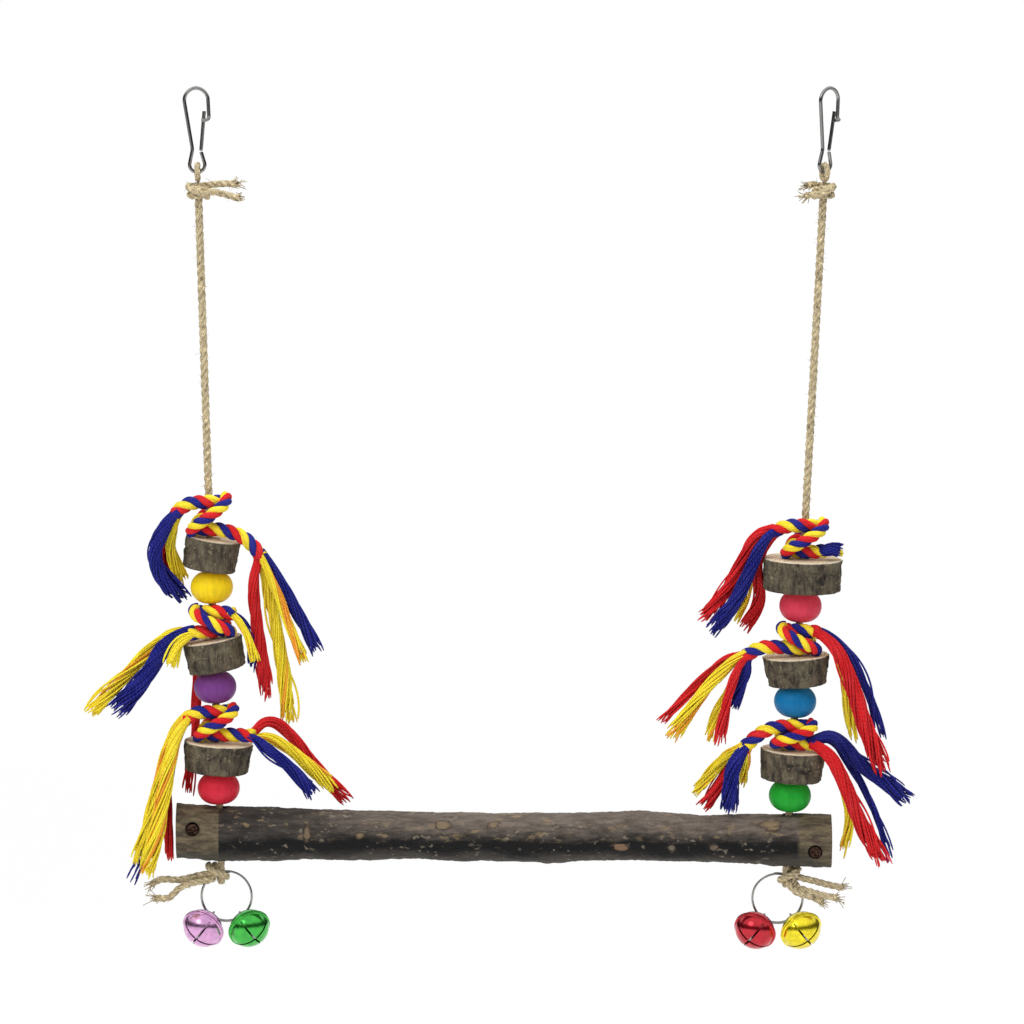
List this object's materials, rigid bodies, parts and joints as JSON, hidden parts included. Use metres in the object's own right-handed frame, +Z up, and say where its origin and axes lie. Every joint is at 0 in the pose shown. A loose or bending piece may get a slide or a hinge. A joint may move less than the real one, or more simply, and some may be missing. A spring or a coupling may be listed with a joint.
{
  "type": "bird swing",
  "caption": "Hanging perch for a cage bird: a bark branch on ropes with snap hooks, threaded with wood slices, beads and cotton fringes, and bells on rings below.",
  "frame": {"origin": "midway between the two points where the hooks sit on their bar", "axes": "+X along the perch to the right of the picture, -Y towards the viewer, +Z up"},
  "size_m": [0.3687, 0.0382, 0.3886],
  "materials": {
    "nickel_wire": "bright nickel plate",
    "jute": "twisted natural fibre",
    "cotton": "twisted dyed cotton in blue, yellow and red",
    "bark": "rough dark bark",
    "slice_wood": "bark rim with sawn cream faces",
    "screw_steel": "bright zinc",
    "yellow_bead": "satin dye",
    "purple_bead": "satin dye",
    "red_bead": "satin dye",
    "coral_bead": "satin dye",
    "blue_bead": "satin dye",
    "green_bead": "satin dye",
    "lilac_bell": "metallic lacquer",
    "green_bell": "metallic lacquer",
    "red_bell": "metallic lacquer",
    "gold_bell": "metallic lacquer"
  },
  "bodies": {
    "hangers": {"left_snap_hook": "nickel_wire", "right_snap_hook": "nickel_wire"},
    "left_gate": {"left_hook_gate": "nickel_wire"},
    "left_ring": {"left_split_ring": "nickel_wire"},
    "left_upper_slice": {"left_upper_wood_slice": "slice_wood"},
    "left_upper_bead": {"left_upper_bead": "yellow_bead"},
    "left_middle_slice": {"left_middle_wood_slice": "slice_wood"},
    "left_middle_bead": {"left_middle_bead": "purple_bead"},
    "left_lower_slice": {"left_lower_wood_slice": "slice_wood"},
    "left_lower_bead": {"left_lower_bead": "red_bead"},
    "right_gate": {"right_hook_gate": "nickel_wire"},
    "right_ring": {"right_split_ring": "nickel_wire"},
    "right_upper_slice": {"right_upper_wood_slice": "slice_wood"},
    "right_upper_bead": {"right_upper_bead": "coral_bead"},
    "right_middle_slice": {"right_middle_wood_slice": "slice_wood"},
    "right_middle_bead": {"right_middle_bead": "blue_bead"},
    "right_lower_slice": {"right_lower_wood_slice": "slice_wood"},
    "right_lower_bead": {"right_lower_bead": "green_bead"},
    "swing": {"perch": "bark", "perch_screws": "screw_steel", "left_hanging_rope": "jute", "left_hook_knot": "jute", "left_ring_knot": "jute", "left_upper_cotton_knot": "cotton", "left_upper_cotton_fringe": "cotton", "left_middle_cotton_knot": "cotton", "left_middle_cotton_fringe": "cotton", "left_lower_cotton_knot": "cotton", "left_lower_cotton_fringe": "cotton", "right_hanging_rope": "jute", "right_hook_knot": "jute", "right_ring_knot": "jute", "right_upper_cotton_knot": "cotton", "right_upper_cotton_fringe": "cotton", "right_middle_cotton_knot": "cotton", "right_middle_cotton_fringe": "cotton", "right_lower_cotton_knot": "cotton", "right_lower_cotton_fringe": "cotton"},
    "left_lilac_bell": {"left_lilac_bell_dome": "lilac_bell", "left_lilac_bell_cup": "lilac_bell", "left_lilac_bell_loop": "nickel_wire"},
    "left_lilac_pellet": {"left_lilac_bell_pellet": "nickel_wire"},
    "left_green_bell": {"left_green_bell_dome": "green_bell", "left_green_bell_cup": "green_bell", "left_green_bell_loop": "nickel_wire"},
    "left_green_pellet": {"left_green_bell_pellet": "nickel_wire"},
    "right_red_bell": {"right_red_bell_dome": "red_bell", "right_red_bell_cup": "red_bell", "right_red_bell_loop": "nickel_wire"},
    "right_red_pellet": {"right_red_bell_pellet": "nickel_wire"},
    "right_gold_bell": {"right_gold_bell_dome": "gold_bell", "right_gold_bell_cup": "gold_bell", "right_gold_bell_loop": "nickel_wire"},
    "right_gold_pellet": {"right_gold_bell_pellet": "nickel_wire"}
  },
  "joints": [
    {"name": "swing", "type": "hinge", "parent": "hangers", "child": "swing", "pos_m": [0, 0, -0.03647], "axis": [1, 0, 0], "range_deg": [-35, 35]},
    {"name": "left_gate", "type": "hinge", "parent": "hangers", "child": "left_gate", "pos_m": [-0.13777, 0, -0.02644], "axis": [0, -1, 0], "range_deg": [0, 20], "stiffness_Nm_per_rad": 0.1},
    {"name": "left_ring", "type": "hinge", "parent": "swing", "child": "left_ring", "pos_m": [-0.13244, 0.00372, -0.35341], "axis": [0.9397, 0, 0.342], "range_deg": [-27, 35]},
    {"name": "left_upper_slice_turn", "type": "hinge", "parent": "swing", "child": "left_upper_slice", "pos_m": [-0.13466, 0, -0.20736], "axis": [0.155, 0, 0.9879], "continuous": true},
    {"name": "left_upper_bead_turn", "type": "hinge", "parent": "swing", "child": "left_upper_bead", "pos_m": [-0.13424, 0, -0.22256], "axis": [-0.0277, 0, 0.9996], "continuous": true},
    {"name": "left_middle_slice_turn", "type": "hinge", "parent": "swing", "child": "left_middle_slice", "pos_m": [-0.1334, 0, -0.25292], "axis": [-0.1751, 0, 0.9845], "continuous": true},
    {"name": "left_middle_bead_turn", "type": "hinge", "parent": "swing", "child": "left_middle_bead", "pos_m": [-0.13299, 0, -0.26782], "axis": [-0.0277, 0, 0.9996], "continuous": true},
    {"name": "left_lower_slice_turn", "type": "hinge", "parent": "swing", "child": "left_lower_slice", "pos_m": [-0.13211, 0, -0.29941], "axis": [0.0683, 0, 0.9977], "continuous": true},
    {"name": "left_lower_bead_turn", "type": "hinge", "parent": "swing", "child": "left_lower_bead", "pos_m": [-0.13171, 0, -0.31379], "axis": [-0.0277, 0, 0.9996], "continuous": true},
    {"name": "right_gate", "type": "hinge", "parent": "hangers", "child": "right_gate", "pos_m": [0.14055, 0.00122, -0.02654], "axis": [0.642, -0.766, -0.0315], "range_deg": [0, 20], "stiffness_Nm_per_rad": 0.1},
    {"name": "right_ring", "type": "hinge", "parent": "swing", "child": "right_ring", "pos_m": [0.1248, 0.00372, -0.35489], "axis": [0.891, 0, -0.454], "range_deg": [-27, 35]},
    {"name": "right_upper_slice_turn", "type": "hinge", "parent": "swing", "child": "right_upper_slice", "pos_m": [0.12976, 0, -0.21665], "axis": [0.0316, 0, 0.9995], "continuous": true},
    {"name": "right_upper_bead_turn", "type": "hinge", "parent": "swing", "child": "right_upper_bead", "pos_m": [0.12905, 0, -0.2311], "axis": [0.049, 0, 0.9988], "continuous": true},
    {"name": "right_middle_slice_turn", "type": "hinge", "parent": "swing", "child": "right_middle_slice", "pos_m": [0.12763, 0, -0.26007], "axis": [-0.0556, 0, 0.9985], "continuous": true},
    {"name": "right_middle_bead_turn", "type": "hinge", "parent": "swing", "child": "right_middle_bead", "pos_m": [0.12693, 0, -0.27433], "axis": [0.049, 0, 0.9988], "continuous": true},
    {"name": "right_lower_slice_turn", "type": "hinge", "parent": "swing", "child": "right_lower_slice", "pos_m": [0.12552, 0, -0.30309], "axis": [0.0665, 0, 0.9978], "continuous": true},
    {"name": "right_lower_bead_turn", "type": "hinge", "parent": "swing", "child": "right_lower_bead", "pos_m": [0.12482, 0, -0.31725], "axis": [0.049, 0, 0.9988], "continuous": true},
    {"name": "left_lilac_bell", "type": "hinge", "parent": "left_ring", "child": "left_lilac_bell", "pos_m": [-0.13554, 0.00372, -0.37293], "axis": [0.788, 0, -0.6157], "range_deg": [-5, 75]},
    {"name": "left_lilac_pellet", "type": "hinge", "parent": "left_lilac_bell", "child": "left_lilac_pellet", "pos_m": [-0.13891, -0.00329, -0.37725], "axis": [0.788, 0, -0.6157], "range_deg": [-50, 50]},
    {"name": "left_green_bell", "type": "hinge", "parent": "left_ring", "child": "left_green_bell", "pos_m": [-0.12162, 0.00372, -0.37293], "axis": [0.788, 0, 0.6157], "range_deg": [-5, 75]},
    {"name": "left_green_pellet", "type": "hinge", "parent": "left_green_bell", "child": "left_green_pellet", "pos_m": [-0.11825, -0.00329, -0.37725], "axis": [0.788, 0, 0.6157], "range_deg": [-50, 50]},
    {"name": "right_red_bell", "type": "hinge", "parent": "right_ring", "child": "right_red_bell", "pos_m": [0.11271, 0.00372, -0.37387], "axis": [0.788, 0, -0.6157], "range_deg": [-5, 75]},
    {"name": "right_red_pellet", "type": "hinge", "parent": "right_red_bell", "child": "right_red_pellet", "pos_m": [0.10934, -0.00329, -0.37818], "axis": [0.788, 0, -0.6157], "range_deg": [-50, 50]},
    {"name": "right_gold_bell", "type": "hinge", "parent": "right_ring", "child": "right_gold_bell", "pos_m": [0.12663, 0.00372, -0.37387], "axis": [0.788, 0, 0.6157], "range_deg": [-5, 75]},
    {"name": "right_gold_pellet", "type": "hinge", "parent": "right_gold_bell", "child": "right_gold_pellet", "pos_m": [0.13, -0.00329, -0.37818], "axis": [0.788, 0, 0.6157], "range_deg": [-50, 50]}
  ]
}
